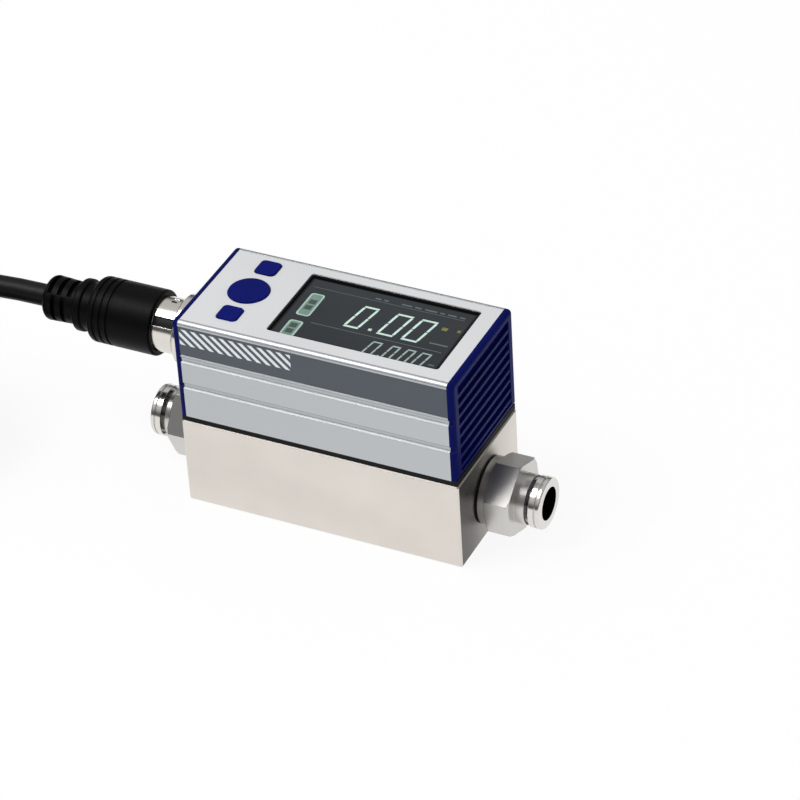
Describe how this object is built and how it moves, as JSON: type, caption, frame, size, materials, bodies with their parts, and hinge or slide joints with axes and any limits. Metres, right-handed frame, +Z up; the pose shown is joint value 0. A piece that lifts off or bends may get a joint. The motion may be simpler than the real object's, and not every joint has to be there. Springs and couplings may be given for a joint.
{
  "type": "gas flow meter",
  "caption": "thermal gas flow meter: stainless flow block with push-in tube fittings at both ends, extruded housing with display and keys, and a round signal plug with cable",
  "frame": {"origin": "centre of the bounding box's base, measured without the plug and the cable; this is the middle of the flow block's underside", "axes": "+X runs along the gas flow towards the outlet, +Z points up to the display, +Y completes a right-handed set; the socket and the inlet are at -X"},
  "size_m": [0.2309, 0.0603, 0.0528],
  "materials": {
    "stainless": "fine ground stainless steel",
    "stainless_inner": "turned stainless steel inside the flow path",
    "screw_steel": "plain steel fasteners",
    "anodised_aluminium": "satin natural anodised extrusion",
    "blue_plastic": "satin dark blue moulding",
    "black_plastic": "black insulating moulding",
    "plug_mould": "black over-moulded plug with a soft sheen",
    "black_rubber": "black seal rubber",
    "cable_jacket": "black cable jacket with a soft sheen",
    "core_insulation": "coloured core insulation",
    "label_film": "pale silver face film, fine satin",
    "band_film": "dark grey film with pale slanted lines",
    "display_glass": "dark display pane with pale green figures",
    "board_green": "green circuit board",
    "nickel": "satin nickel plate",
    "contact_gold": "gold-plated contact pins"
  },
  "bodies": {
    "meter": {"flow_block": "stainless", "laminar_element": "stainless_inner", "flow_screen_inlet": "stainless_inner", "flow_screen_outlet": "stainless_inner", "retaining_sleeve": "stainless_inner", "sensor_manifold": "black_plastic", "sensor_seals": "black_rubber", "sensor_board": "board_green", "sensor_screws": "screw_steel", "sensor_link": "black_plastic", "base_gasket": "black_rubber", "housing_profile": "anodised_aluminium", "housing_screws": "screw_steel", "end_cap_left": "blue_plastic", "end_cap_right": "blue_plastic", "face_label": "label_film", "side_band_front": "band_film", "display_lens": "display_glass", "display_seal": "black_rubber", "display_module": "black_plastic", "front_board": "board_green", "main_board": "board_green", "board_link": "black_plastic", "switch_up": "black_plastic", "switch_enter": "black_plastic", "switch_down": "black_plastic", "fitting_body_inlet": "stainless", "face_seal_inlet": "black_rubber", "tube_seal_inlet": "black_rubber", "support_ring_inlet": "stainless_inner", "claw_ring_inlet": "stainless_inner", "guide_ring_inlet": "stainless_inner", "fitting_body_outlet": "stainless", "face_seal_outlet": "black_rubber", "tube_seal_outlet": "black_rubber", "support_ring_outlet": "stainless_inner", "claw_ring_outlet": "stainless_inner", "guide_ring_outlet": "stainless_inner", "socket_shell": "nickel", "socket_nut": "nickel", "socket_insert": "black_plastic", "socket_contacts": "contact_gold", "plug_shell": "nickel", "plug_insert": "black_plastic", "plug_pins": "contact_gold", "plug_body": "plug_mould", "signal_cable": "cable_jacket", "cable_hank": "cable_jacket", "hank_tie": "black_rubber", "cable_tail": "cable_jacket", "cable_cores": "core_insulation"},
    "up_key": {"key_up": "blue_plastic", "plunger_up": "black_plastic"},
    "enter_key": {"key_enter": "blue_plastic", "plunger_enter": "black_plastic"},
    "down_key": {"key_down": "blue_plastic", "plunger_down": "black_plastic"},
    "inlet_collet": {"release_collet_inlet": "stainless"},
    "outlet_collet": {"release_collet_outlet": "stainless"}
  },
  "joints": [
    {"name": "up_key_press", "type": "slide", "parent": "meter", "child": "up_key", "axis": [0, 0, -1], "range_m": [0, 0.0003], "stiffness_N_per_m": 500},
    {"name": "enter_key_press", "type": "slide", "parent": "meter", "child": "enter_key", "axis": [0, 0, -1], "range_m": [0, 0.0003], "stiffness_N_per_m": 500},
    {"name": "down_key_press", "type": "slide", "parent": "meter", "child": "down_key", "axis": [0, 0, -1], "range_m": [0, 0.0003], "stiffness_N_per_m": 500},
    {"name": "inlet_collet_release", "type": "slide", "parent": "meter", "child": "inlet_collet", "axis": [1, 0, 0], "range_m": [0, 0.001], "stiffness_N_per_m": 800},
    {"name": "outlet_collet_release", "type": "slide", "parent": "meter", "child": "outlet_collet", "axis": [-1, 0, 0], "range_m": [0, 0.001], "stiffness_N_per_m": 800}
  ]
}
